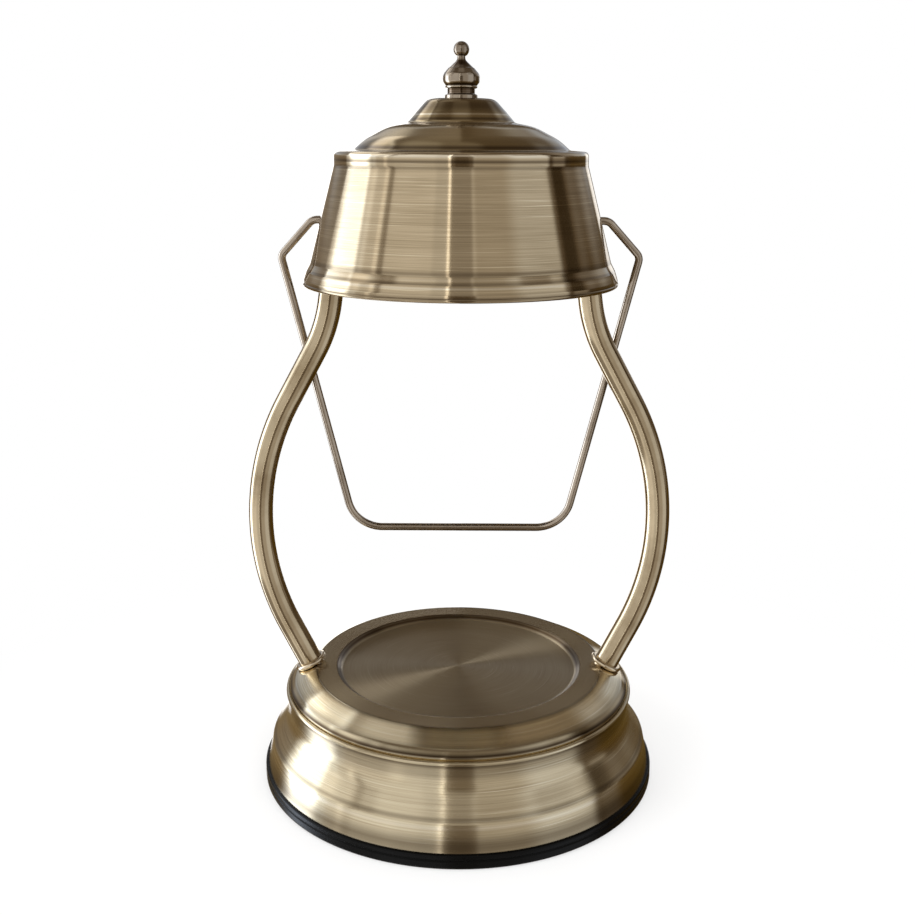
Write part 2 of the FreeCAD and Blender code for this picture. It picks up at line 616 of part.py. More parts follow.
def contact_bar(grow):
    """The brass bar from over the pin at +Y out to its lead."""
    first = PIN_PITCH / 2 - CONTACT_OVERHANG - grow
    last = LEAD_Y + CONTACT_OVERHANG + grow
    width = CONTACT_WIDTH + 2 * grow
    return Part.makeBox(width, last - first, CONTACT_THICKNESS, V(-width / 2, first, CONTACT_BASE))


def lamp_holder():
    """Ceramic body with two keyhole slots in its face and a lead bore above each contact."""
    body = turned([(0, HOLDER_BASE, 0), (HOLDER_RADIUS, HOLDER_BASE, 0.8),
                   (HOLDER_RADIUS, HOLDER_TOP, 1.5), (0, HOLDER_TOP, 0)])
    face = HOLDER_BASE + HOLDER_FACE
    entry = Part.makeCylinder(PIN_HEAD_RADIUS + FREE_GAP, HOLDER_FACE, V(0, PIN_PITCH / 2, HOLDER_BASE))
    pocket = arc_slot(PIN_NECK_RADIUS + FREE_GAP, HOLDER_BASE, face).fuse([
        spin(entry, -TWIST_ANGLE),
        arc_slot(PIN_HEAD_RADIUS + FREE_GAP, face, CONTACT_BASE),
        contact_bar(SLIP),
        rod(LEAD_RADIUS + SLIP, V(0, LEAD_Y, CONTACT_BASE), V(0, LEAD_Y, HOLDER_TOP))])
    screw = rod(SCREW_RADIUS, V(SCREW_PITCH / 2, 0, HOLDER_TOP - SCREW_GRIP),
                V(SCREW_PITCH / 2, 0, HOLDER_TOP))
    return body.cut([opposite_pair(pocket), both_sides(screw)])


def holder_contacts():
    return opposite_pair(contact_bar(0))


def holder_spacers():
    return both_sides(ring(SPACER_RADIUS, SCREW_RADIUS + CLOSE_FIT, SPACER_HEIGHT,
                           V(SCREW_PITCH / 2, 0, HOLDER_TOP)))


def holder_screws():
    middle = V(SCREW_PITCH / 2, 0, YOKE_TOP)
    shank = rod(SCREW_RADIUS, V(SCREW_PITCH / 2, 0, HOLDER_TOP - SCREW_GRIP), middle)
    head = Part.makeCylinder(SCREW_HEAD_RADIUS, SCREW_HEAD_HEIGHT, middle)
    slot = Part.makeBox(2 * SCREW_HEAD_RADIUS, SCREW_SLOT, SCREW_SLOT,
                        middle + V(-SCREW_HEAD_RADIUS, -SCREW_SLOT / 2, SCREW_HEAD_HEIGHT - SCREW_SLOT))
    return both_sides(shank.fuse(head).cut(slot))


# ---------------------------------------------------------------- bulb
def bulb_reflector():
    """The pressed glass bowl, open at the bottom."""
    rim = BULB_FACE_HEIGHT
    bowl = spun([
        (CAP_RADIUS - 1.0, BULB_CAP_BASE + 2.0, 0),
        (CAP_RADIUS + 1.6, BULB_CAP_BASE - 1.0, 2),
        (BULB_RADIUS - 4.2, rim + 14.0, 14),
        (BULB_RADIUS, rim + 4.0, 2),
        (BULB_RADIUS, rim, 0)], BULB_GLASS)
    return bowl.cut(Part.makeCylinder(BULB_RADIUS, CAP_LENGTH, V(0, 0, BULB_CAP_BASE)))


def bulb_lens():
    """The front glass, a shallow dome just inside the bowl's rim."""
    radius = BULB_RADIUS - BULB_GLASS
    rim = BULB_FACE_HEIGHT
    return turned([(0, rim - 0.2, 0), (0.6 * radius, rim, 40), (radius, rim + 0.8, 0),
                   (radius, rim + 2.2, 0), (0, rim + 1.6, 0)])


def bulb_cap():
    """The ceramic cap that the bowl is cemented to and the pins stand in."""
    return turned([(0, BULB_CAP_BASE, 0), (CAP_RADIUS, BULB_CAP_BASE, 0.6),
                   (CAP_RADIUS, BULB_SHOULDER - 4.0, 2), (CAP_RADIUS - 1.6, BULB_SHOULDER, 1.0),
                   (0, BULB_SHOULDER, 0)])


def bulb_pins():
    middle = V(0, PIN_PITCH / 2, 0)
    head_base = V(0, 0, PIN_TOP - PIN_HEAD_LENGTH)
    neck = rod(PIN_NECK_RADIUS, middle + V(0, 0, BULB_SHOULDER), middle + head_base)
    head = rod(PIN_HEAD_RADIUS, middle + head_base, middle + V(0, 0, PIN_TOP))
    return opposite_pair(neck.fuse(head))


def bulb_capsule():
    """The small burner that stands down from the cap into the bowl."""
    tip = BULB_CAP_BASE - BURNER_LENGTH
    return turned([(0, BULB_CAP_BASE, 0), (BURNER_RADIUS, BULB_CAP_BASE, 0),
                   (BURNER_RADIUS, tip + 1.5, 3.5), (0, tip, 0)])


# ---------------------------------------------------------------- bail
def bail_corners(lean):
    """The wire from its left tip to its right tip, leaning back by `lean` radians."""
    half = [(BAIL_TIP_X, 0, 0), (BAIL_HOOK_X, 0, BAIL_HOOK_BEND),
            (BAIL_EAR_X, BAIL_EAR_DROP, BAIL_EAR_BEND), (BAIL_GRIP_X, BAIL_GRIP_DROP, BAIL_GRIP_BEND)]
    whole = [(-x, drop, bend) for x, drop, bend in half] + list(reversed(half))
    return [(V(x, drop * math.sin(lean), PIVOT_HEIGHT - drop * math.cos(lean)), bend)
            for x, drop, bend in whole]


def bail_lean():
    """How far the bail leans back, in radians, when its legs rest behind the posts."""
    upright_leg = Part.Wire(rounded_edges(bail_corners(0)[4:]))
    post_axis = Part.Wire(rounded_edges(post_corners(0)))
    crossing = upright_leg.distToShape(post_axis)[1][0][0]
    reach = POST_RADIUS + BAIL_WIRE_RADIUS + BAIL_REST_GAP
    return math.asin(reach / (PIVOT_HEIGHT - crossing.z))


def bail_handle():
    return swept_rod(bail_corners(bail_lean()), BAIL_WIRE_RADIUS)


# ---------------------------------------------------------------- wiring
def cord_bush():
    """The bush for the supply cord, its flange seated on the back of the skirt."""
    rise = (INLET_HEIGHT - FOOT_HEIGHT) / (BAND_TOP_HEIGHT - FOOT_HEIGHT)
    face = HEM_RADIUS - rise * (HEM_RADIUS - BAND_TOP_RADIUS)
    outside = room_under(skirt_corners(), 0, 0)
    inner_end = V(0, face - BUSH_TAIL, INLET_HEIGHT)
    outer_end = V(0, face + BUSH_FLANGE_THICKNESS, INLET_HEIGHT)
    flange = rod(BUSH_FLANGE_RADIUS, inner_end, outer_end).cut(outside)
    barrel = rod(BUSH_RADIUS - CLOSE_FIT, inner_end, outer_end)
    return barrel.fuse(flange).cut(rod(INLET_RADIUS, inner_end, outer_end)).removeSplitter()


def block_poles():
    """Middle of each pole of the terminal block, across it."""
    return [BLOCK_Y - BLOCK_POLE_PITCH / 2, BLOCK_Y + BLOCK_POLE_PITCH / 2]


def block_screw_shafts(low, length):
    """A shaft for each clamp screw of the terminal block."""
    return [Part.makeCylinder(BLOCK_SCREW_RADIUS, length, V(x, y, low))
            for x in (-BLOCK_X - BLOCK_SCREW_PITCH / 2, -BLOCK_X + BLOCK_SCREW_PITCH / 2)
            for y in block_poles()]


def terminal_block():
    left = -BLOCK_X - BLOCK_LENGTH / 2
    box = Part.makeBox(BLOCK_LENGTH, BLOCK_WIDTH, BLOCK_HEIGHT,
                       V(left, BLOCK_Y - BLOCK_WIDTH / 2, BALLAST_TOP))
    bores = [rod(BLOCK_BORE_RADIUS, V(left, y, LEAD_HEIGHT), V(left + BLOCK_LENGTH, y, LEAD_HEIGHT))
             for y in block_poles()]
    return box.cut(bores + block_screw_shafts(LEAD_HEIGHT, BLOCK_HEIGHT / 2))


def terminal_screws():
    return Part.makeCompound(block_screw_shafts(LEAD_HEIGHT + LEAD_RADIUS, BLOCK_SCREW_LENGTH))


def lead(side):
    """A lead from the block, up through the left post and over to its contact in the holder."""
    pole = BLOCK_Y + side * BLOCK_POLE_PITCH / 2
    face = BLOCK_X + BLOCK_LENGTH / 2
    # The rear lead turns towards the block first, so that the two stay side by side.
    turn_x = face + BLOCK_APPROACH + side * BLOCK_POLE_PITCH / 2
    foot_run = (POST_FOOT.z - LEAD_HEIGHT) / math.cos(SLOPE)
    in_post = post_corners(foot_run, side * LEAD_SPREAD)
    entry, top = in_post[0][0], in_post[-1][0]
    y = side * LEAD_Y
    corners = [
        (V(face - BLOCK_GRIP, pole, LEAD_HEIGHT), 0),
        (V(turn_x, pole, LEAD_HEIGHT), LEAD_BEND),
        (entry, LEAD_BEND),
        in_post[1],
        in_post[2],
        (top + POST_TOP_UP * 7, LEAD_BEND),
        (V(YOKE_KNEE_X + 6, y, YOKE_KNEE_HEIGHT - 9), LEAD_BEND),
        (V(YOKE_KNEE_X - 8, y, YOKE_KNEE_HEIGHT + 4), LEAD_BEND),
        (V(0, y, HOLDER_TOP + 4.5), 3 * LEAD_RADIUS),
        (V(0, y, CONTACT_TOP), 0)]
    return mirrored(swept_rod(corners, LEAD_RADIUS))


def live_lead():
    return lead(1)


def neutral_lead():
    return lead(-1)


# ---------------------------------------------------------------- output
PIECES = (
    foot_ring, bottom_plate, ballast_disc, base_skirt, base_cover,
    tie_stud, ballast_nut, base_washer, base_nut,
    left_post, right_post, left_collar, right_collar, saddle_washers, foot_ring_nuts,
    yoke_strap, yoke_ring_nuts, shade_stud, stud_nuts, shade_washer, shade, finial,
    lamp_holder, holder_contacts, holder_spacers, holder_screws,
    bulb_reflector, bulb_lens, bulb_cap, bulb_pins, bulb_capsule,
    bail_handle, cord_bush, terminal_block, terminal_screws, live_lead, neutral_lead)

os.makedirs("parts", exist_ok=True)
for piece in PIECES:
    piece().exportStep("parts/" + piece.__name__ + ".step")
print("bail leans back by", round(math.degrees(bail_lean()), 4), "degrees")
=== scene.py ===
"""Candle warmer lamp in antique brass: its smooth metalwork, its finishes and the studio."""
import json
import math

import bpy
from mathutils import Matrix, Vector


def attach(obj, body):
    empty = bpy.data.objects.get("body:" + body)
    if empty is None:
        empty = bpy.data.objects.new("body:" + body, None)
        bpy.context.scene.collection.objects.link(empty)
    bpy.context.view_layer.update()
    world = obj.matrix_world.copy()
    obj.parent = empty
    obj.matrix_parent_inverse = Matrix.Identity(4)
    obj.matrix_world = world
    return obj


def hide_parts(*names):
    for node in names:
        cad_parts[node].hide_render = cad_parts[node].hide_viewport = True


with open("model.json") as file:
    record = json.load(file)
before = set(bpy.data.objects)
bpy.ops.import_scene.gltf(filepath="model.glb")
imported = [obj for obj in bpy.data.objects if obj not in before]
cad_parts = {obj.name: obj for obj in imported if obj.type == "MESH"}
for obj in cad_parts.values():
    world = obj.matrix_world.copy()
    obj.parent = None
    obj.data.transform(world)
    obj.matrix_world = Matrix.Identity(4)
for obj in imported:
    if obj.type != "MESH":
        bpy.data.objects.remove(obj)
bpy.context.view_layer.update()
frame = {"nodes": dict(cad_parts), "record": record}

MM = 0.001

# ---------------------------------------------------------------- outlines, all in mm
BEND_SHARE = 0.98           # how much of a run the bends at its two ends may take
END_GAP = 0.2               # from a run's ends to the nearest points inside it
LONG_RUN = 1.2              # a shorter run has no points inside
SAME_SPOT = 1e-5
NO_BEND = 1e-6


def rounded(corners, arc_step=5.0, run_step=3.0):
    """Points along the straight runs and tangent arcs of (across, up, bend) corners."""
    spots = [Vector(corner[:2]) for corner in corners]
    wanted = [0.0] * len(corners)
    for i in range(1, len(corners) - 1):
        turn = (spots[i] - spots[i - 1]).angle(spots[i + 1] - spots[i])
        wanted[i] = corners[i][2] * math.tan(turn / 2)
    reach = list(wanted)
    for i in range(1, len(corners) - 1):
        for j in (i - 1, i + 1):
            room = BEND_SHARE * (spots[i] - spots[j]).length
            if wanted[i] + wanted[j] > room:
                reach[i] = min(reach[i], wanted[i] * room / (wanted[i] + wanted[j]))
    points = [spots[0]]

    def run_to(end):
        start = points[-1]
        length = (end - start).length
        if length > LONG_RUN:
            inside = length - 2 * END_GAP
            steps = max(1, math.ceil(inside / run_step))
            stops = [END_GAP + inside * k / steps for k in range(steps + 1)]
            points.extend(start.lerp(end, stop / length) for stop in stops)
        if length > SAME_SPOT:
            points.append(end)

    for i in range(1, len(corners) - 1):
        back = (spots[i - 1] - spots[i]).normalized()
        ahead = (spots[i + 1] - spots[i]).normalized()
        run_to(spots[i] + back * reach[i])
        if reach[i] > NO_BEND:
            half = back.angle(ahead) / 2
            radius = reach[i] * math.tan(half)
            centre = spots[i] + (back + ahead).normalized() * (radius / math.sin(half))
            first = points[-1] - centre
            last = spots[i] + ahead * reach[i] - centre
            swing = first.angle_signed(last)
            steps = max(2, math.ceil(math.degrees(abs(swing)) / arc_step))
            for k in range(1, steps + 1):
                points.append(centre + Matrix.Rotation(-swing * k / steps, 2) @ first)
    run_to(spots[-1])
    return points


def inset(corners, wall):
    """The corners of the inner face, `wall` to the right of the way that they run."""
    spots = [Vector(corner[:2]) for corner in corners]
    runs = [b - a for a, b in zip(spots, spots[1:])]
    sides = [Vector((run.y, -run.x)).normalized() for run in runs]
    moved = []
    for i, corner in enumerate(corners):
        side_in = sides[max(i - 1, 0)]
        side_out = sides[min(i, len(sides) - 1)]
        run_out = runs[min(i, len(runs) - 1)]
        shift = (side_in + side_out) * (wall / (1 + side_in.dot(side_out)))
        bend = max(corner[2] - wall, 0) if side_in.dot(run_out) > 0 else corner[2] + wall
        moved.append((*(spots[i] + shift), bend if corner[2] > 0 else 0))
    return moved


def arc(centre, radius, start, end, step=8.0):
    """Points round a centre, from one angle to another in degrees."""
    steps = math.ceil(abs(end - start) / step)
    angles = [math.radians(start + (end - start) * k / steps) for k in range(steps + 1)]
    return [Vector((centre[0] + radius * math.cos(a), centre[1] + radius * math.sin(a)))
            for a in angles]


# ---------------------------------------------------------------- mesh making
CENTRE = 1e-4               # a ring with a smaller radius, in mm, is a single point
SHARP_EDGE = math.radians(38)


def new_piece(name, points, faces, finish, place=None):
    """A smooth piece from points in mm."""
    mesh = bpy.data.meshes.new(name)
    mesh.from_pydata([Vector(p) * MM for p in points], [], faces)
    if place:
        mesh.transform(place)
    mesh.validate()
    mesh.polygons.foreach_set("use_smooth", [True] * len(mesh.polygons))
    mesh.set_sharp_from_angle(angle=SHARP_EDGE)
    mesh.materials.append(finish)
    piece = bpy.data.objects.new(name, mesh)
    bpy.context.scene.collection.objects.link(piece)
    return piece


def ring_angles(radius, count):
    return [2 * math.pi * k / count for k in range(1 if radius < CENTRE else count)]


def skin(rings, count, closed=True):
    """The points of the rings, and the faces from each ring to the next."""
    points, starts = [], []
    for ring in rings:
        starts.append(len(points))
        points.extend(ring)
    faces = []
    for i in range(len(rings) if closed else len(rings) - 1):
        j = (i + 1) % len(rings)
        here, there = len(rings[i]) > 1, len(rings[j]) > 1
        if not here and not there:
            continue
        for k in range(count):
            m = (k + 1) % count
            first = [starts[i] + k, starts[i] + m] if here else [starts[i]]
            second = [starts[j] + m, starts[j] + k] if there else [starts[j]]
            faces.append(first + second)
    return points, faces


def spun(name, outline, finish, turns=256, place=None):
    """Turns a closed outline of (radius, height) points round the upright axis."""
    rings = [[(radius * math.cos(a), radius * math.sin(a), height)
              for a in ring_angles(radius, turns)] for radius, height in outline]
    points, faces = skin(rings, turns)
    area = sum(a[0] * b[1] - b[0] * a[1] for a, b in zip(outline, outline[1:] + outline[:1]))
    if area <= 0:
        faces = [face[::-1] for face in faces]
    return new_piece(name, points, faces, finish, place)


def swept(name, path, radii, finish, sides=48, upright=(0, 1, 0)):
    """Carries round rings of (station, radius) along a flat path of points in mm."""
    across = Vector(upright)
    rings = []
    for station, radius in radii:
        before = path[max(station - 1, 0)]
        after = path[min(station + 1, len(path) - 1)]
        out = (after - before).normalized().cross(across).normalized()
        rings.append([path[station] + (across * math.cos(a) + out * math.sin(a)) * radius
                      for a in ring_angles(radius, sides)])
    points, faces = skin(rings, sides, closed=len(rings[0]) > 1)
    return new_piece(name, points, faces, finish)


# ---------------------------------------------------------------- shader bench
class Wire:
    """An output of a shader node. Sums on it add Math nodes."""

    def __init__(self, bench, socket):
        self.bench = bench
        self.socket = socket

    def __getitem__(self, name):
        return Wire(self.bench, self.socket.node.outputs[name])

    def __add__(self, other):
        return self.bench.maths("ADD", self, other)

    def __radd__(self, other):
        return self.bench.maths("ADD", other, self)

    def __sub__(self, other):
        return self.bench.maths("SUBTRACT", self, other)

    def __rsub__(self, other):
        return self.bench.maths("SUBTRACT", other, self)

    def __mul__(self, other):
        return self.bench.maths("MULTIPLY", self, other)

    def __rmul__(self, other):
        return self.bench.maths("MULTIPLY", other, self)

    def __truediv__(self, other):
        return self.bench.maths("DIVIDE", self, other)

    def __rtruediv__(self, other):
        return self.bench.maths("DIVIDE", other, self)

    def __pow__(self, other):
        return self.bench.maths("POWER", self, other)


class Bench:
    """The node tree of one finish, or of the room."""

    def __init__(self, tree):
        self.tree = tree
        tree.nodes.clear()

    def add(self, kind, settings=None, sockets=None):
        """A node of this kind, its settings first and then its sockets; gives its first output."""
        node = self.tree.nodes.new(kind)
        for name, value in (settings or {}).items():
            setattr(node, name, value)
        for name, value in (sockets or {}).items():
            socket = node.inputs[name]
            if isinstance(name, str):
                socket = next(s for s in node.inputs if s.name == name and s.enabled)
            if isinstance(value, Wire):
                self.tree.links.new(value.socket, socket)
            else:
                socket.default_value = value
        return Wire(self, next((s for s in node.outputs if s.enabled), None))

    def maths(self, operation, first, second=0.0):
        return self.add("ShaderNodeMath", {"operation": operation}, {0: first, 1: second})

    def fade(self, value, low, high, to_low=0.0, to_high=1.0):
        """Goes smoothly from to_low, at low, to to_high, at high; low can be the larger."""
        return self.add("ShaderNodeMapRange", {"interpolation_type": "SMOOTHSTEP"}, {
            "Value": value, "From Min": low, "From Max": high,
            "To Min": to_low, "To Max": to_high})

    def mix(self, mask, first, second):
        """first where mask is 0, second where it is 1; both are colours."""
        return self.add("ShaderNodeMix", {"data_type": "RGBA"}, {
            "Factor": mask, "A": first, "B": second})

    def spot(self):
        return self.add("ShaderNodeTexCoord")["Object"]

    def parts(self, vector):
        split = self.add("ShaderNodeSeparateXYZ", {}, {"Vector": vector})
        return split["X"], split["Y"], split["Z"]

    def vector(self, x, y, z):
        return self.add("ShaderNodeCombineXYZ", {}, {"X": x, "Y": y, "Z": z})

    def noise(self, where, scale, detail=3.0, rough=0.55):
        return self.add("ShaderNodeTexNoise", {"noise_dimensions": "3D"}, {
            "Vector": where, "Scale": scale, "Detail": detail, "Roughness": rough})["Fac"]

    def bump(self, height, depth):
        return self.add("ShaderNodeBump", {}, {
            "Height": height, "Distance": depth, "Strength": 1.0})

    def surface(self, sockets):
        shader = self.add("ShaderNodeBsdfPrincipled", {}, sockets)
        self.add("ShaderNodeOutputMaterial", {}, {"Surface": shader})

    def light(self, kind, colour, strength=1.0):
        return self.add(kind, {}, {"Color": (*colour, 1), "Strength": strength})

    def blend(self, share, first, second):
        """first where share is 0, second where it is 1; both are shaders."""
        return self.add("ShaderNodeMixShader", {}, {0: share, 1: first, 2: second})


def new_finish(name):
    finish = bpy.data.materials.new(name)
    finish.use_nodes = True
    return finish, Bench(finish.node_tree)


def paint(*screen):
    """A screen colour, red, green and blue from 0 to 255, as the light that it stands for."""
    return (*((c / 255 / 12.92 if c <= 10 else ((c / 255 + 0.055) / 1.055) ** 2.4)
              for c in screen), 1.0)


# ---------------------------------------------------------------- finishes
# Crease colours: patina and painted shade in the hollows, wear and painted highlights on the
# edges.
PATINA_AND_SHADE = paint(64, 45, 23)
WORN_AND_HIGHLIGHT = paint(240, 230, 210)
BRUSHED = 0.000002          # depth of the brushing, in metres
AXIS_GUARD = 0.0005         # keeps the way that a spot faces finite on the axis, in metres


def lathe_grain(bench, spot, along, around, detail=3.0):
    """Streaks round a spun piece: they change fast along its outline and slowly round it."""
    x, y, z = bench.parts(spot)
    radius = (x * x + y * y) ** 0.5
    face_x, face_y = x / (radius + AXIS_GUARD), y / (radius + AXIS_GUARD)
    where = bench.vector(face_x * around, face_y * around, (z - radius) * along)
    return bench.noise(where, 1.0, detail, rough=0.6)


def patina_and_painted_light(bench, spot, colour, creases):
    """Patina and painted shade in the creases, each (height, half width, strength), in mm; below
    0, wear and a painted highlight.
    """
    height = bench.parts(spot)[2]
    for middle, half, strength in creases:
        off = bench.maths("ABSOLUTE", height - middle * MM)
        mask = bench.fade(off, 0, half * MM, abs(strength), 0.0)
        colour = bench.mix(mask, colour, PATINA_AND_SHADE if strength > 0 else WORN_AND_HIGHLIGHT)
    return colour


def spun_brass(name, light, dark, bright, rough=0.13, streaks=1.0, stretch=0.95, creases=()):
    """Brushed and lacquered antique plate on a spun shell; bright is its finest scratches."""
    finish, bench = new_finish(name)
    spot = bench.spot()
    fine = lathe_grain(bench, spot, along=2100.0, around=1.3)
    hair = lathe_grain(bench, spot, along=1700.0, around=1.1, detail=2.0)
    broad = lathe_grain(bench, spot, along=160.0, around=0.9, detail=2.0)
    cloud = bench.noise(spot, 24.0, detail=2.0)
    wear = bench.fade(fine * 0.65 * streaks + broad * 0.25 + cloud * 0.3, 0.4, 1.05)
    scratch = bench.fade(hair, 0.58, 0.74) * 0.7 * streaks
    colour = bench.mix(wear, paint(*light), paint(*dark))
    colour = patina_and_painted_light(bench, spot, bench.mix(scratch, colour, paint(*bright)), creases)
    bench.surface({
        "Base Color": colour, "Metallic": 1.0, "Roughness": rough + fine * 0.05 * streaks,
        "Anisotropic": stretch, "Anisotropic Rotation": 0.25,
        "Normal": bench.bump(fine, BRUSHED * streaks),
        "Coat Weight": 0.12, "Coat Roughness": 0.06})
    return finish


def plated(name, light, dark, rough, speckle=900.0, depth=0.0, coat=0.12, creases=()):
    """Smooth plate on tube, wire and turned pieces; depth gives it a cast grain."""
    finish, bench = new_finish(name)
    spot = bench.spot()
    fine = bench.noise(spot, speckle)
    cloud = bench.noise(spot, 60.0)
    wear = bench.fade(fine * (0.5 if depth else 0.12) + cloud * 0.8, 0.3, 0.8)
    colour = patina_and_painted_light(bench, spot, bench.mix(wear, paint(*light), paint(*dark)), creases)
    bench.surface({
        "Base Color": colour, "Metallic": 1.0,
        "Roughness": rough + cloud * 0.06, "Normal": bench.bump(fine, depth or BRUSHED),
        "Coat Weight": coat, "Coat Roughness": 0.08})
    return finish


def moulded(name, light, dark, rough, depth=0.00003, shine=0.5):
    """Rubber, plastic or ceramic with a fine moulded grain."""
    finish, bench = new_finish(name)
    spot = bench.spot()
    fine = bench.noise(spot, 1500.0)
    cloud = bench.noise(spot, 60.0, detail=2.0)
    # Random mottle between the two tones.
    mottle = bench.fade(cloud + fine * 0.3, 0.4, 0.9)
    bench.surface({
        "Base Color": bench.mix(mottle, paint(*light), paint(*dark)),
        "Roughness": rough + fine * 0.15, "Normal": bench.bump(fine, depth),
        "Specular IOR Level": shine})
    return finish


def glass(name, light, dark, rough):
    """Clear glass with faint waves."""
    finish, bench = new_finish(name)
    waves = bench.noise(bench.spot(), 260.0, detail=2.0)
    bench.surface({
        "Base Color": bench.mix(waves, paint(*light), paint(*dark)), "Metallic": 0.0,
        "Roughness": rough + waves * 0.05, "Normal": bench.bump(waves, 0.00004),
        "Transmission Weight": 1.0, "IOR": 1.5})
    return finish


looks = {
    spun_brass: {
        # Lighter copy of the shade's plate, painting the light that the base catches from below;
        # its creases are patina with painted shade under the bead and towards the bottom, and wear
        # with a painted highlight below the step.
        "base_brass": dict(
            light=(206, 192, 162), dark=(150, 131, 101), bright=(240, 230, 206), rough=0.19,
            creases=[(35.4, 2.0, 0.75), (32.6, 4.0, 0.4), (17.4, 1.2, 0.42), (14.8, 1.3, -0.35),
                     (8.2, 5.8, 0.66)]),
        # Lighter copy of the plate, painting light on the cover's slope; its creases are patina
        # and painted shade, darkest just above the seam.
        "slope_brass": dict(
            light=(230, 216, 184), dark=(190, 172, 140), bright=(250, 242, 222),
            creases=[(45.2, 1.0, 0.6), (40.6, 1.4, 0.45), (38.9, 1.4, 0.95)]),
        # Darker copy of the plate, painting the shade on the candle plate; its creases are a
        # painted shadow on the recess wall and rim, with the patina there.
        "plate_brass": dict(
            light=(170, 154, 126), dark=(124, 104, 79), bright=(200, 186, 158), rough=0.3,
            streaks=0.7, stretch=0.97, creases=[(44.3, 1.35, 0.96), (45.05, 0.5, 0.75)]),
        # Darker copy of the plate, painting the shade on the ring round the recess; its crease is
        # patina and painted shade at the recess edge.
        "ring_brass": dict(
            light=(186, 170, 140), dark=(140, 121, 94), bright=(214, 200, 172), rough=0.2,
            streaks=0.7, stretch=0.97, creases=[(44.0, 1.0, 0.8)]),
        # The shade's plate; its creases are patina and painted shade under the shoulder and in the
        # rim's grooves, and wear with a painted highlight on the shoulder and rim ridges.
        "shade_brass": dict(
            light=(184, 166, 136), dark=(124, 106, 78), bright=(226, 212, 182), rough=0.1,
            creases=[(259.9, 1.0, -0.5), (257.9, 1.1, 0.72), (255.6, 1.3, 0.45),
                     (218.2, 1.6, 0.5), (216.2, 0.6, -0.1), (214.8, 1.0, 0.55),
                     (213.3, 0.7, -0.3), (211.3, 0.6, 0.2), (209.6, 1.5, 0.5)]),
        # Darker, browner copy of the plate, painting the dark reflection on the dome and tier; its
        # creases are patina and painted shade on the tier and the dome's foot, and wear with a
        # painted highlight on the tier's bead.
        "dome_brass": dict(
            light=(176, 156, 118), dark=(134, 112, 74), bright=(196, 178, 142), rough=0.13,
            streaks=0.6, stretch=0.7,
            creases=[(279.0, 5.5, 0.72), (275.7, 0.6, -0.55), (273.9, 1.2, 0.75),
                     (264.9, 3.4, 0.32), (262.9, 1.5, 0.85), (270.6, 1.0, -0.15)]),
        # Lighter copy of the plate inside the shade, painting light on its inner face.
        "inner_brass": dict(
            light=(232, 216, 184), dark=(206, 188, 154), bright=(244, 232, 206), rough=0.3,
            streaks=0.5, stretch=0.3)},
    plated: {
        "post_brass": dict(light=(184, 167, 138), dark=(144, 125, 96), rough=0.11),
        "collar_brass": dict(light=(206, 190, 164), dark=(160, 142, 116), rough=0.12),
        # Its creases are patina with painted shade in the finial's neck and under the onion, and
        # wear with a painted highlight on the bead.
        "dark_bronze": dict(
            light=(154, 141, 124), dark=(104, 91, 77), rough=0.12,
            creases=[(295.9, 3.2, 0.95), (287.4, 0.7, 0.95), (286.7, 0.3, -0.5),
                     (285.6, 0.9, 0.95), (284.6, 1.5, 0.85), (283.8, 0.4, 0.9)]),
        "wire_brass": dict(light=(172, 159, 143), dark=(126, 112, 97), rough=0.13),
        "plain_steel": dict(
            light=(198, 198, 196), dark=(160, 160, 158), rough=0.3, depth=0.00001, coat=0.0),
        "cast_iron": dict(
            light=(72, 70, 68), dark=(44, 42, 40), rough=0.6, speckle=500.0, depth=0.0002,
            coat=0.0),
        "plain_brass": dict(
            light=(214, 190, 128), dark=(176, 148, 90), rough=0.3, depth=0.00001, coat=0.0),
        "reflector_glass": dict(
            light=(216, 218, 224), dark=(190, 194, 202), rough=0.05, coat=1.0)},
    moulded: {
        "black_rubber": dict(
            light=(4, 4, 4), dark=(2, 2, 2), rough=0.2, depth=0.000005, shine=0.12),
        "white_ceramic": dict(light=(236, 233, 224), dark=(222, 217, 206), rough=0.4),
        "black_plastic": dict(light=(34, 34, 34), dark=(20, 20, 20), rough=0.45),
        "white_plastic": dict(light=(232, 231, 224), dark=(218, 216, 208), rough=0.35),
        "brown_insulation": dict(light=(104, 66, 42), dark=(82, 50, 32), rough=0.5),
        "blue_insulation": dict(light=(58, 92, 150), dark=(44, 72, 124), rough=0.5)},
    glass: {
        "clear_glass": dict(light=(246, 248, 248), dark=(235, 240, 240), rough=0.05)}}
finishes = {name: make(name, **look) for make, rows in looks.items()
            for name, look in rows.items()}
finishes["antique_brass"] = finishes["base_brass"]
for part in frame["record"]["subparts"]:
    node = frame["nodes"][part["node"]]
    for place in node.material_slots:
        place.material = finishes[part["material_slot"]]


def stands_for(piece, node, body="lamp"):
    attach(piece, body)
    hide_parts(node)


LOOKS_DOWN = -0.5           # the upright share of a face's normal, from here on down


def refinish(piece, name, across, up, turned_in=False):
    """Gives another finish to the faces whose centre lies in these two ranges, in mm."""
    near, far, bottom, top = (value * MM for value in (*across, *up))
    piece.data.materials.append(finishes[name])
    for face in piece.data.polygons:
        outward = face.normal.dot((*face.center.xy, 0)) >= 0 and face.normal.z > LOOKS_DOWN
        if turned_in and outward:
            continue
        if near <= face.center.xy.length <= far and bottom <= face.center.z <= top:
            face.material_index = len(piece.data.materials) - 1


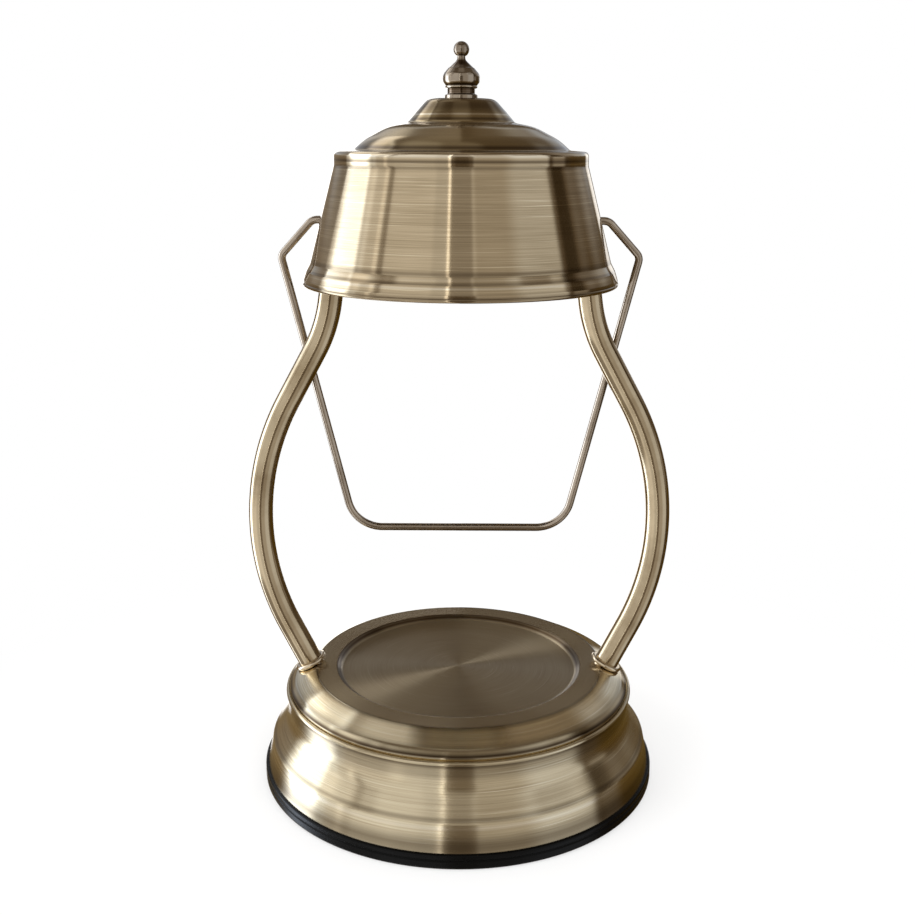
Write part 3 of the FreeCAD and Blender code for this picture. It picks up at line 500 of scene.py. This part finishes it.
# ---------------------------------------------------------------- base; corners in mm
SHEET = 0.8                 # wall of every spun shell
LARGE = 320                 # facets round the largest pieces
FOOT_BORE, FOOT_RADIUS, FOOT_HEIGHT = 70.0, 82.5, 5.9
GROOVE_HEIGHT, GROOVE_DEPTH = 3.54, 0.5
foot = rounded([
    (FOOT_BORE, FOOT_HEIGHT, 0), (FOOT_BORE, 0.0, 0.5), (FOOT_RADIUS, 0.0, 1.2),
    (FOOT_RADIUS, GROOVE_HEIGHT - GROOVE_DEPTH, 0.15),
    (FOOT_RADIUS - GROOVE_DEPTH, GROOVE_HEIGHT, 0.15),
    (FOOT_RADIUS, GROOVE_HEIGHT + GROOVE_DEPTH, 0.15),
    (FOOT_RADIUS, FOOT_HEIGHT, 0.9), (FOOT_BORE, FOOT_HEIGHT, 0)])[:-1]
stands_for(spun("foot_ring_moulded", foot, finishes["black_rubber"], turns=LARGE),
           "foot_ring")

SEAM_HEIGHT = 36.6
SEAM_LIP, SEAM_LIP_END = 69.2, 71.38    # the flat lip, from its edge to the bead
NECK_RADIUS = 72.1
BEAD = (72.35, SEAM_HEIGHT)
BEAD_RADIUS, BEAD_OVERHANG = 0.95, 0.25
BEAD_START, BEAD_END = 178, -105.2      # degrees
bead_foot = SEAM_HEIGHT - math.sqrt(BEAD_RADIUS ** 2 - BEAD_OVERHANG ** 2)
flare = [(NECK_RADIUS, 25.8, 9), (77.5, 18.3, 5), (79.2, 16.2, 2), (81.3, FOOT_HEIGHT, 0)]
skirt_inner = rounded(inset(
    [(SEAM_LIP, SEAM_HEIGHT, 0), (NECK_RADIUS, SEAM_HEIGHT, 0.9), *flare], SHEET))
skirt_outer = (rounded([(SEAM_LIP, SEAM_HEIGHT, 0), (SEAM_LIP_END, SEAM_HEIGHT, 0)])
               + arc(BEAD, BEAD_RADIUS, BEAD_START, BEAD_END)
               + rounded([(NECK_RADIUS, bead_foot, 0), *flare])[1:])
skirt_outline = skirt_outer + skirt_inner[::-1]
stands_for(spun("skirt_spun", skirt_outline, finishes["base_brass"], turns=LARGE),
           "base_skirt")

PLATE_HEIGHT, COVER_HEIGHT = 43.2, 45.2
cover = [(0, PLATE_HEIGHT, 0), (49.6, PLATE_HEIGHT, 1.4), (51.7, COVER_HEIGHT, 1.4),
         (60.8, COVER_HEIGHT, 1.5), (69.5, 40.77, 4), (71.8, 38.5, 0.9),
         (71.3, SEAM_HEIGHT, 0)]
cover_outline = rounded(cover) + rounded(inset(cover, SHEET))[::-1]
cover_piece = spun("cover_spun", cover_outline, finishes["base_brass"])
# The plate, ring and slope get darker and lighter copies of the plate: painted light and shade.
refinish(cover_piece, "plate_brass", across=(0, 52.0), up=(42.9, 46.0))
refinish(cover_piece, "ring_brass", across=(52.0, 60.2), up=(44.6, 46.0))
refinish(cover_piece, "slope_brass", across=(60.2, 72.5), up=(36.0, 46.0))
stands_for(cover_piece, "base_cover")

# ---------------------------------------------------------------- posts and collars
POST_FOOT = (62.9, 44.13)
POST_SLOPE = math.radians(27.0)
POST_TAIL = 9.1             # below the foot, inside the base
POST_RADIUS, POST_BORE = 5.0, 4.0
COLLAR_BORE, COLLAR_RADIUS, COLLAR_HEIGHT, COLLAR_BEND = 5.05, 6.8, 2.0, 0.96
tail = Vector((math.sin(POST_SLOPE), math.cos(POST_SLOPE))) * POST_TAIL
post_corners = [(POST_FOOT[0] - tail.x, POST_FOOT[1] - tail.y, 0), (96.85, 110.76, 105),
                (54.6, 189.9, 60), (49.66, 229.0, 0)]
collar = rounded([
    (COLLAR_BORE, 0, 0), (COLLAR_RADIUS, 0, COLLAR_BEND),
    (COLLAR_RADIUS, COLLAR_HEIGHT, COLLAR_BEND), (COLLAR_BORE, COLLAR_HEIGHT, 0)], arc_step=10.0)
for side, name in ((-1, "left"), (1, "right")):
    axis = [Vector((side * p.x, 0, p.y))
            for p in rounded(post_corners, arc_step=1.5, run_step=4.0)]
    last = len(axis) - 1
    rings = ([(i, POST_RADIUS) for i in range(last + 1)]
             + [(i, POST_BORE) for i in range(last, -1, -1)])
    stands_for(swept(name + "_tube", axis, rings, finishes["post_brass"]),
               name + "_post")
    lean = Matrix.Translation(Vector((side * POST_FOOT[0], 0, POST_FOOT[1])) * MM)
    lean = lean @ Matrix.Rotation(side * POST_SLOPE, 4, "Y")
    stands_for(
        spun(name + "_foot_collar", collar, finishes["collar_brass"], turns=96, place=lean),
        name + "_collar")

# ---------------------------------------------------------------- shade and finial
SHADE_TOP = 282.0
STUD_HOLE = 3.2
RIM = (62.9, 209.1)
RIM_RADIUS = 0.9
RIM_START, RIM_END = 48.0, -257.0       # degrees
RIM_MEETS_OUTSIDE, RIM_MEETS_INSIDE = 209.8, 210.0
shade = [(STUD_HOLE, SHADE_TOP, 0), (13.3, SHADE_TOP, 5), (18.2, 276.6, 1),
         (21.6, 272.6, 3), (29.3, 271.1, 20), (39.1, 266.0, 20), (43.6, 261.9, 1.5),
         (51.0, 261.3, 1.8), (51.0, 256.0, 3), (60.8, 217.4, 1), (62.4, 214.3, 1.5),
         (63.5, 210.9, 1.5), (63.5, RIM[1], 0)]
shade_outer = [p for p in rounded(shade) if p.y > RIM_MEETS_OUTSIDE]
shade_inner = [p for p in rounded(inset(shade, SHEET)) if p.y > RIM_MEETS_INSIDE]
shade_outline = shade_outer + arc(RIM, RIM_RADIUS, RIM_START, RIM_END) + shade_inner[::-1]
shade_piece = spun("shade_spun", shade_outline, finishes["shade_brass"], turns=LARGE)
# The dome gets a darker copy, painting its dark reflection; the inside gets a lighter one,
# painting light there.
refinish(shade_piece, "dome_brass", across=(0, 48.5), up=(261.0, 283.0))
refinish(shade_piece, "inner_brass", across=(3.3, 62.0), up=(210.5, 281.5), turned_in=True)
stands_for(shade_piece, "shade")

BALL = (0, 301.15)
BALL_RADIUS = 3.15
ball = arc(BALL, BALL_RADIUS, 90, -53)
ball[0].x = 0.0             # exactly on the axis
stem = rounded([
    (1.6, 298.6, 0), (1.6, 297.1, 2.4), (4.7, 294.15, 0.3), (5.2, 293.9, 0.2),
    (7.35, 291.4, 2.8), (7.35, 288.5, 2.4), (6.25, 287.1, 0.1), (6.5, 286.7, 0.25),
    (6.3, 286.2, 0.2), (5.5, 285.9, 0.1), (5.5, 283.9, 0.4), (6.5, 283.5, 0.35),
    (6.6, SHADE_TOP, 0), (0.0, SHADE_TOP, 0)])
stands_for(spun("finial_turned", ball + stem, finishes["dark_bronze"], turns=128),
           "finial")

# ---------------------------------------------------------------- bail
PIVOT_HEIGHT = 233.9
BAIL_LEAN = math.radians(6.7765)
BAIL_RADIUS, BAIL_CHAMFER = 1.6, 0.2
half = [(52.61, 0, 0), (59.91, 0, 4.5), (73.11, 14.8, 4), (45.21, 135.0, 15)]  # x, drop, bend
wire = ([(-x, -drop, bend) for x, drop, bend in half]
        + [(x, -drop, bend) for x, drop, bend in half[::-1]])
lean_back = Vector((0, -math.sin(BAIL_LEAN), math.cos(BAIL_LEAN)))
wire_path = [Vector((p.x, 0, PIVOT_HEIGHT)) + lean_back * p.y
             for p in rounded(wire, arc_step=4.0, run_step=5.0)]
end = len(wire_path) - 1
wire_rings = ([(0, 0), (0, BAIL_RADIUS - BAIL_CHAMFER)]
              + [(i, BAIL_RADIUS) for i in range(end + 1)]
              + [(end, BAIL_RADIUS - BAIL_CHAMFER), (end, 0)])
wire_face = Vector((0, math.cos(BAIL_LEAN), math.sin(BAIL_LEAN)))
stands_for(
    swept("bail_wire", wire_path, wire_rings, finishes["wire_brass"], sides=32, upright=wire_face),
    "bail_handle", "bail")


# ---------------------------------------------------------------- room, seen in the metal
world = bpy.data.worlds.new("studio")
bpy.context.scene.world = world
world.use_nodes = True
bench = Bench(world.node_tree)
way = bench.add("ShaderNodeTexCoord")["Generated"]
way_x, way_y, way_z = bench.parts(way)
# Degrees from the viewer: 90 is at the viewer's right, -90 at the left, 180 straight behind
# the lamp. off_front is the same to both sides.
bearing = bench.maths("ARCTAN2", way_x, 0 - way_y) * math.degrees(1)
off_front = bench.maths("ABSOLUTE", bearing)


def light_of(level, cool=0.0):
    """A room colour: dim things are warm, and pale ones as neutral as paper."""
    dim = max(0.0, 1.0 - level) ** 2.5
    green, blue = 1 - 0.36 * dim + 0.15 * cool, 1 - 0.75 * dim + 0.38 * cool
    return (level, level * green, level * blue, 1)


def from_to(start, full):
    """Mask that grows from one bearing to another, either way round."""
    return bench.fade(bearing, start, full)


def wide(left, right, soft=1.5):
    """Mask of the bearings from left to right."""
    return from_to(left - soft, left + soft) * from_to(right + soft, right - soft)


def behind(start, full):
    """Mask that grows from one bearing to another, on both sides."""
    return bench.fade(off_front, start, full)


def above(height, soft):
    """Mask of what is higher than this, in degrees."""
    low, high = (math.sin(math.radians(height + s)) for s in (-soft, soft))
    return bench.fade(way_z, low, high)


def below(height, soft):
    return 1 - above(height, soft)


def beside(first, second, soft):
    """Mask of the half of the room to the right of the line through two (bearing, height)s."""
    ends = [Vector((math.sin(b) * math.cos(h), -math.cos(b) * math.cos(h), math.sin(h)))
            for b, h in (map(math.radians, pair) for pair in (first, second))]
    side = bench.add("ShaderNodeVectorMath", {"operation": "DOT_PRODUCT"}, {
        0: way, 1: ends[1].cross(ends[0]).normalized()})["Value"]
    slack = math.sin(math.radians(soft))
    return bench.fade(side, -slack, slack)


def either(first, second):
    return bench.maths("MAXIMUM", first, second)


window_left = either(from_to(-122, -119.5), beside((-121, 19), (-155, 37), 2))
window_right = either(from_to(-93, -84), beside((-87, 12), (-112, 45), 3))
window_top = beside((-152, 40), (-115, 52), 2.5)
window = window_left * (1 - window_right) * window_top * from_to(-166, -154)
window = window * either(above(13, 3), from_to(-119, -107))

# Each hangs over the ones before it: (mask, brightness, how cool it is).
panels = [
    # pale walls to the right and left of the viewer
    (wide(11, 120, 3), 0.64, -0.15),
    (wide(44, 120, 8), 0.88, 0.2),
    (wide(-22, -10, 2), 0.9),
    # the viewer's dark shape and the bright line along it
    (wide(-9, 10) * above(14, 5), 0.5),
    (wide(-9, 11) * below(14, 5), 0.26),
    (wide(-5, 7) * below(9, 3) * above(-8, 3), 0.15),
    (wide(-10.6, -8.6, 0.3), 2.5),
    # left: a dim post in two lengths, a bright line, a pale sill and a pale curtain
    (wide(-66.5, -61.5, 1) * either(above(7, 4), below(-8, 4)), 0.45),
    (wide(-71, -67.5, 0.7), 1.5),
    (wide(-84, -36, 4) * below(-13, 3), 1.25),
    (wide(-93, -80, 2.5), 1.35, 0.4),
    (wide(-95, -84, 3), 1.1, 0.4),
    # dim rails high up on both sides, and the top of the curtain
    (wide(52, 100, 4) * above(32, 3) * below(45, 4), 0.42),
    (wide(-76, -56, 4) * above(34, 2) * below(45, 4), 0.42),
    (wide(-96, -81, 2) * above(19, 3), 1.7),
    # right: the dark wall, with pale patches at its near edge and paler high up at the back
    (wide(83, 190, 2.5), 0.17),
    (wide(88, 102, 2.5), 0.065),
    (wide(86, 190, 2.5) * below(8, 4), 0.125),
    (wide(104, 190, 3) * below(-9, 3), 0.115, -0.9),
    (wide(88, 104, 3) * below(5, 4) * above(-9, 3), 0.45),
    (from_to(78, 82) * from_to(92, 88) * above(22, 2), 0.8),
    (wide(106, 190, 4) * above(10, 3), 0.29, 0.3),
    (wide(112, 190, 4) * below(9, 3) * above(-9, 3), 0.13, -0.5),
    (wide(124, 190, 8) * above(7, 4), 0.52, 0.3),
    (wide(140, 190, 5) * above(7, 4), 0.66, 0.8),
    # behind, left of the middle
    (wide(-190, -121, 2) * below(7, 3), 0.29, -0.2),
    (wide(-190, -121, 2) * below(-8, 3), 0.26, -0.8),
    (wide(-190, -121, 2) * above(7, 3), 0.36, 0.3),
    (wide(-190, -138, 10) * above(7, 3), 0.55, 0.8),
    # the upper part of the wall behind
    (behind(128, 150) * above(15, 6), 0.46, 0.8),
    (behind(158, 168) * above(15, 6), 0.66, 0.9),
    (from_to(156, 164) * above(15, 6), 0.5, 0.9),
    (behind(128, 150) * above(28, 5), 0.24, 0.3),
    (behind(158, 168) * above(31, 6), 0.6, 0.6),
    (behind(158, 168) * above(42, 3), 0.42, 0.4),
    (above(44, 5) * behind(60, 120), 0.2, 0.1),
    (above(44, 5) * from_to(-100, -125), 0.29, 0.2),
    # the window, dimmer the higher it is
    (window, 4.6, 0.8),
    (window * above(10, 5) * below(33, 4), 2.7, 0.8),
    (window * above(26, 5), 1.5),
    (window * above(39, 4), 1.12),
    # pale patches beyond the window, and a dim strip low in front of it
    (from_to(-134, -140) * from_to(-162, -158) * above(31, 4) * below(44, 3), 2.0),
    (from_to(-158, -162) * from_to(-171, -167) * above(16, 4) * below(36, 3), 0.75),
    (wide(-106, -48, 5) * below(-30.5, 1.5), 0.45),
    # the ceiling
    (above(54, 6), 0.21),
    (above(54, 6) * from_to(-100, -125), 0.4),
    (above(55, 6) * below(80, 3) * wide(-140, -112, 8), 0.7),
    (above(78, 3), 0.42),
    # two bright things low behind the lamp, and the dark upright between them
    (from_to(-158, -162) * above(-36, 4) * below(11, 3), 2.2),
    (from_to(147, 152) * from_to(165, 161) * above(-3, 4) * below(11, 3), 1.4),
    (behind(165.5, 170.5) * above(11, 3) * below(38, 3), 0.12),
    (from_to(171, 178) * above(36, 3) * below(60, 8), 0.15)]
room = bench.mix(above(10, 10), light_of(0.97), light_of(1.05))
for mask, *light in panels:
    room = bench.mix(mask, room, light_of(*light))

# The metal mirrors the room; other surfaces get an even light, and the camera sees paper.
rays = bench.add("ShaderNodeLightPath")
mirrored = bench.add("ShaderNodeBackground", {}, {"Color": room, "Strength": 1.0})
even = bench.light("ShaderNodeBackground", (1, 0.99, 0.97), 0.75)
paper = bench.light("ShaderNodeBackground", (1, 1, 1))
lit = bench.blend(rays["Is Glossy Ray"], even, mirrored)
seen = bench.maths("MAXIMUM", rays["Is Camera Ray"], rays["Is Transmission Ray"])
bench.add("ShaderNodeOutputWorld", {}, {"Surface": bench.blend(seen, lit, paper)})

# ---------------------------------------------------------------- floor and lamps
FLOOR_HALF = 6.0            # metres
BARE_FROM, BARE_TO, LEAST_BARE = 0.08, 0.26, 0.55
floor_finish, bench = new_finish("floor_paper")
spot = bench.spot()
paper_x, paper_y, _ = bench.parts(spot)
from_lamp = (paper_x * paper_x + paper_y * paper_y) ** 0.5
cloud = bench.noise(spot, 3.0)
shaded = bench.add("ShaderNodeBsdfDiffuse", {}, {
    "Color": bench.mix(cloud, (0.95, 0.95, 0.95, 1), (0.93, 0.93, 0.93, 1))})
bare = bench.light("ShaderNodeEmission", (1, 1, 1))
rays = bench.add("ShaderNodeLightPath")
share = bench.fade(from_lamp, BARE_FROM, BARE_TO, LEAST_BARE, 1.0) * rays["Is Camera Ray"]
bench.add("ShaderNodeOutputMaterial", {}, {"Surface": bench.blend(share, shaded, bare)})
floor_mesh = bpy.data.meshes.new("floor")
floor_mesh.from_pydata([(x * FLOOR_HALF, y * FLOOR_HALF, 0)
                        for x, y in ((-1, -1), (1, -1), (1, 1), (-1, 1))], [], [(0, 1, 2, 3)])
floor_mesh.materials.append(floor_finish)
floor = bpy.data.objects.new("floor", floor_mesh)
bpy.context.scene.collection.objects.link(floor)
floor.visible_glossy = False

for name, place, aim, size, power in (
        ("window_light", (-1.4, -0.9, 1.1), (0, 0, 0.12), (1.0, 1.2), 16),
        ("room_fill", (1.0, -1.4, 1.4), (0, 0, 0.12), (1.2, 1.2), 9),
        ("ceiling_light", (0.0, 0.3, 1.9), (0, 0, 0.0), (1.8, 1.8), 14)):
    lamp = bpy.data.lights.new(name, "AREA")
    lamp.shape = "RECTANGLE"
    lamp.size, lamp.size_y = size
    lamp.energy = power
    holder = bpy.data.objects.new(name, lamp)
    holder.location = place
    holder.rotation_mode = "QUATERNION"
    holder.rotation_quaternion = (Vector(aim) - Vector(place)).to_track_quat("-Z", "Y")
    holder.visible_glossy = False
    bpy.context.scene.collection.objects.link(holder)

# ---------------------------------------------------------------- camera
camera_data = bpy.data.cameras.new("camera")
camera_data.sensor_width = 36.0
camera_data.lens = 47.37
camera_data.shift_x = -0.0027
camera_data.shift_y = -0.12
camera = bpy.data.objects.new("camera", camera_data)
camera.location = (0, -0.4882, 0.2641)
camera.rotation_mode = "ZYX"
camera.rotation_euler = (math.radians(80.42), 0, math.radians(0.27))
bpy.context.scene.collection.objects.link(camera)
bpy.context.scene.camera = camera
bpy.context.scene.view_settings.view_transform = "Standard"
